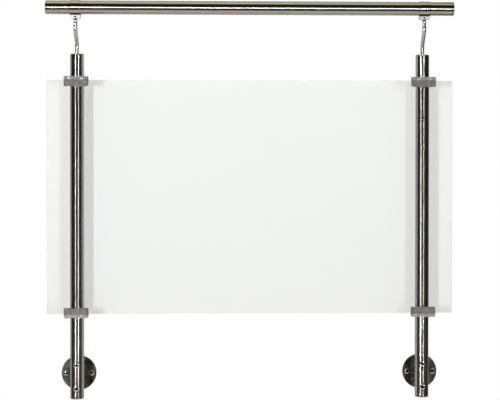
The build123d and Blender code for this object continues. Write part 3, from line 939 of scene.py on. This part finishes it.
def make_post_bolts(side):
    """The two domed socket bolts through a post, their heads hollowed underneath to sit on it."""
    node = f"post_bolts_{side}"
    low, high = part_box(node)
    tube_low, tube_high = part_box(f"post_tube_{side}")
    axis = (tube_low + tube_high) / 2
    tube_radius = (tube_high.x - tube_low.x) / 2
    head_radius = (high.x - low.x) / 2
    head_foot = low.y + POST_BOLT_HEAD_HEIGHT
    bolts = bmesh.new()
    for z in (low.z + head_radius, high.z - head_radius):
        place_screw(
            bolts,
            (axis.x, head_foot, z),
            head_radius,
            POST_BOLT_HEAD_HEIGHT,
            POST_BOLT_ROUNDING,
            POST_BOLT_SHANK_RADIUS,
            head_foot - high.y,
        )
    for vert in bolts.verts:
        reach = (vert.co.x - axis.x) / tube_radius
        on_tube = axis.y - tube_radius * sqrt(1 - reach * reach)
        if abs(vert.co.y - head_foot) < NEAR:
            vert.co.y = min(vert.co.y, on_tube)
    finish_piece(bolts, f"socketed_{node}", BOLT_STEEL, "bolt_steel", node)


def make_pad(node, outline):
    """A moulded rubber pad with soft edges; its outline, in Y and Z, runs along X."""
    low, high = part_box(node)
    pad = bmesh.new()
    end = pad.faces.new([pad.verts.new((low.x, y, z)) for y, z in outline])
    extrude_faces(pad, [end], (high.x - low.x, 0, 0))
    round_edges(pad, pad.edges[:], PAD_EDGE_RADIUS, PAD_EDGE_STEPS)
    finish_piece(pad, f"moulded_{node}", PAD_RUBBER, "pad_rubber", node)


def make_front_pad(clamp):
    """The flat pad in front of the sheet."""
    node = f"front_pad_{clamp}"
    low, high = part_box(node)
    make_pad(node, ((low.y, low.z), (high.y, low.z), (high.y, high.z), (low.y, high.z)))


def make_back_pad(clamp):
    """The pad behind the sheet, with a foot that turns over the sheet's edge."""
    node = f"back_pad_{clamp}"
    low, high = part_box(node)
    edge_z, end_z = (high.z, low.z) if clamp.startswith("top") else (low.z, high.z)
    foot_z = edge_z + PAD_FOOT * (1 if end_z > edge_z else -1)
    front_y = high.y - PAD_THICKNESS
    outline = (
        (high.y, edge_z),
        (low.y, edge_z),
        (low.y, foot_z),
        (front_y, foot_z),
        (front_y, end_z),
        (high.y, end_z),
    )
    make_pad(node, outline)


# Stage and light


def make_stage_plane(name, matrix, size, material):
    """One flat piece of the stage, a unit square brought to its size and place."""
    plane = bmesh.new()
    bmesh.ops.create_grid(plane, x_segments=1, y_segments=1, size=UNIT_HALF_WIDTH)
    bmesh.ops.scale(plane, vec=(*size, 1), verts=plane.verts)
    bmesh.ops.transform(plane, matrix=matrix, verts=plane.verts)
    mesh = bpy.data.meshes.new(name)
    plane.to_mesh(mesh)
    plane.free()
    mesh.materials.append(material)
    piece = bpy.data.objects.new(name, mesh)
    bpy.context.collection.objects.link(piece)


def make_floor_material():
    """Plain pale floor that keeps the object's shadow. In metal, it is dark far off or at a slant."""
    material, tree, shader, coordinates = start_material("floor_paint")
    haze = place_group(tree, HANDLING_HAZE, coordinates.outputs["Object"], Scale=1.5)
    colour = mix_colours(tree, haze.outputs["Haze"], FLOOR_PAINT_DARK, FLOOR_PAINT_LIGHT)
    tree.links.new(colour, shader.inputs["Base Color"])
    shader.inputs["Roughness"].default_value = FLOOR_ROUGHNESS
    shader.inputs["Specular IOR Level"].default_value = FLOOR_SHINE
    slant = tree.nodes.new("ShaderNodeLayerWeight")
    slant.inputs["Blend"].default_value = FLOOR_SLANT_BLEND
    slantwise = add_range(tree, slant.outputs["Facing"], FLOOR_SLANT_FROM, FLOOR_SLANT_TO)
    ahead = split_axes(tree, coordinates.outputs["Object"])["Y"]
    far = add_range(tree, ahead, FLOOR_LIT_TO, FLOOR_DARK_FROM)
    path = tree.nodes.new("ShaderNodeLightPath")
    mirrored = has_bounced(tree, path, "Glossy")
    unlit = add_math(tree, "MULTIPLY", add_math(tree, "MAXIMUM", slantwise, far), mirrored)
    bright = add_glow(tree, "ShaderNodeEmission", FLOOR_GLOW, FLOOR_GLOW_STRENGTH)
    dark = add_glow(tree, "ShaderNodeEmission", FLOOR_UNLIT)
    layers = (
        (add_math(tree, "MULTIPLY", mirrored, FLOOR_GLOW_SHARE), bright),
        (unlit, dark),
    )
    stack_shaders(tree, shader.outputs[0], layers, "Material Output")
    return material


def make_wall_material():
    """White backdrop. Through the sheet it shows its shadows; from behind it isn't there."""
    material, tree, shader, coordinates = start_material("wall_paint")
    place = split_axes(tree, coordinates.outputs["Object"])
    # Painted shade: the wall grows darker from the object's top down to its foot.
    height = add_range(tree, place["Z"], CAD_LOW.z, CAD_HIGH.z)
    colour = mix_colours(tree, height, WALL_FOOT_PAINTED_SHADE, WALL_PAINT_HIGH)
    tree.links.new(colour, shader.inputs["Base Color"])
    shader.inputs["Roughness"].default_value = 1.0
    shader.inputs["Specular IOR Level"].default_value = 0.0
    path = tree.nodes.new("ShaderNodeLightPath")
    geometry = tree.nodes.new("ShaderNodeNewGeometry")
    white = add_glow(tree, "ShaderNodeEmission", WHITE)
    veil = add_glow(tree, "ShaderNodeEmission", WHITE, VEIL_STRENGTH)
    dim = add_glow(tree, "ShaderNodeEmission", WALL_UNLIT)
    clear = tree.nodes.new("ShaderNodeBsdfTransparent")
    mirrored = has_bounced(tree, path, "Glossy")
    left_from = WALL_LIT_FROM - WALL_LEFT_BLEND
    left_to = WALL_LIT_FROM + WALL_LEFT_BLEND
    right_from = WALL_LIT_TO - WALL_RIGHT_BLEND
    right_to = WALL_LIT_TO + WALL_RIGHT_BLEND
    before = add_range(tree, place["X"], left_from, left_to, 1.0, WALL_DIMMED)
    beyond = add_range(tree, place["X"], right_from, right_to, WALL_DIMMED, 1.0)
    unlit = add_math(tree, "MAXIMUM", before, beyond)
    layers = (
        (add_math(tree, "MULTIPLY", path.outputs["Is Transmission Ray"], VEIL_SHARE), veil),
        (add_math(tree, "MULTIPLY", mirrored, unlit), dim),
        (path.outputs["Is Camera Ray"], white),
        (geometry.outputs["Backfacing"], clear.outputs[0]),
    )
    stack_shaders(tree, shader.outputs[0], layers, "Material Output")
    return material


def make_stage():
    """A pale floor below the object and a white wall behind it."""
    floor_z = CAD_LOW.z - FLOOR_BELOW_OBJECT
    across = 2 * STAGE_HALF_WIDTH
    floor_place = Matrix.Translation((0, 0, floor_z))
    make_stage_plane("floor", floor_place, (across, across), make_floor_material())
    wall_height = WALL_TOP - floor_z
    upright = Matrix.Rotation(radians(90), 4, "X")
    wall_place = Matrix.Translation((0, 0, floor_z + wall_height / 2)) @ upright
    make_stage_plane("wall", wall_place, (across, wall_height), make_wall_material())


def make_world():
    """Even light on matte things; metal sees a dark room under a pale ceiling."""
    world = bpy.data.worlds.new("studio")
    bpy.context.scene.world = world
    world.use_nodes = True
    tree = world.node_tree
    tree.nodes.remove(tree.nodes["Background"])
    even = add_glow(tree, "ShaderNodeBackground", AMBIENT_COLOUR, AMBIENT)
    white = add_glow(tree, "ShaderNodeBackground", WHITE)
    coordinates = tree.nodes.new("ShaderNodeTexCoord")
    height = split_axes(tree, coordinates.outputs["Generated"])["Z"]
    ramp = tree.nodes.new("ShaderNodeValToRGB")
    stops = ramp.color_ramp.elements
    for stop, (level, colour) in zip(stops, (ROOM_DARK, ROOM_CEILING)):
        stop.position = level
        stop.color = (*colour, 1)
    middle = stops.new(ROOM_MIDDLE[0])
    middle.color = (*ROOM_MIDDLE[1], 1)
    tree.links.new(height, ramp.inputs["Fac"])
    room = tree.nodes.new("ShaderNodeBackground")
    room.inputs["Strength"].default_value = ROOM_STRENGTH
    tree.links.new(ramp.outputs["Color"], room.inputs["Color"])
    path = tree.nodes.new("ShaderNodeLightPath")
    layers = (
        (path.outputs["Is Transmission Ray"], white),
        (has_bounced(tree, path, "Glossy"), room.outputs[0]),
        (has_bounced(tree, path, "Diffuse"), even),
        (path.outputs["Is Camera Ray"], white),
    )
    stack_shaders(tree, even, layers, "World Output")


def make_lamps():
    """Two soft boxes in front of the panel, left and right."""
    for name, place, power in LAMPS:
        lamp = bpy.data.lights.new(name, "AREA")
        lamp.shape = "RECTANGLE"
        lamp.size = LAMP_WIDTH
        lamp.size_y = LAMP_HEIGHT
        lamp.energy = power
        box = bpy.data.objects.new(name, lamp)
        box.location = place
        towards = Vector(LAMP_AIM) - Vector(place)
        box.rotation_euler = towards.to_track_quat("-Z", "Y").to_euler()
        bpy.context.collection.objects.link(box)


make_camera()
dress_cad_nodes()
for side in SIDES:
    make_wall_bolts(side)
    make_post_bolts(side)
for clamp in CLAMPS:
    make_clamp_screws(clamp)
    make_front_pad(clamp)
    make_back_pad(clamp)
make_stage()
make_world()
make_lamps()

bpy.context.scene.view_settings.view_transform = "Standard"
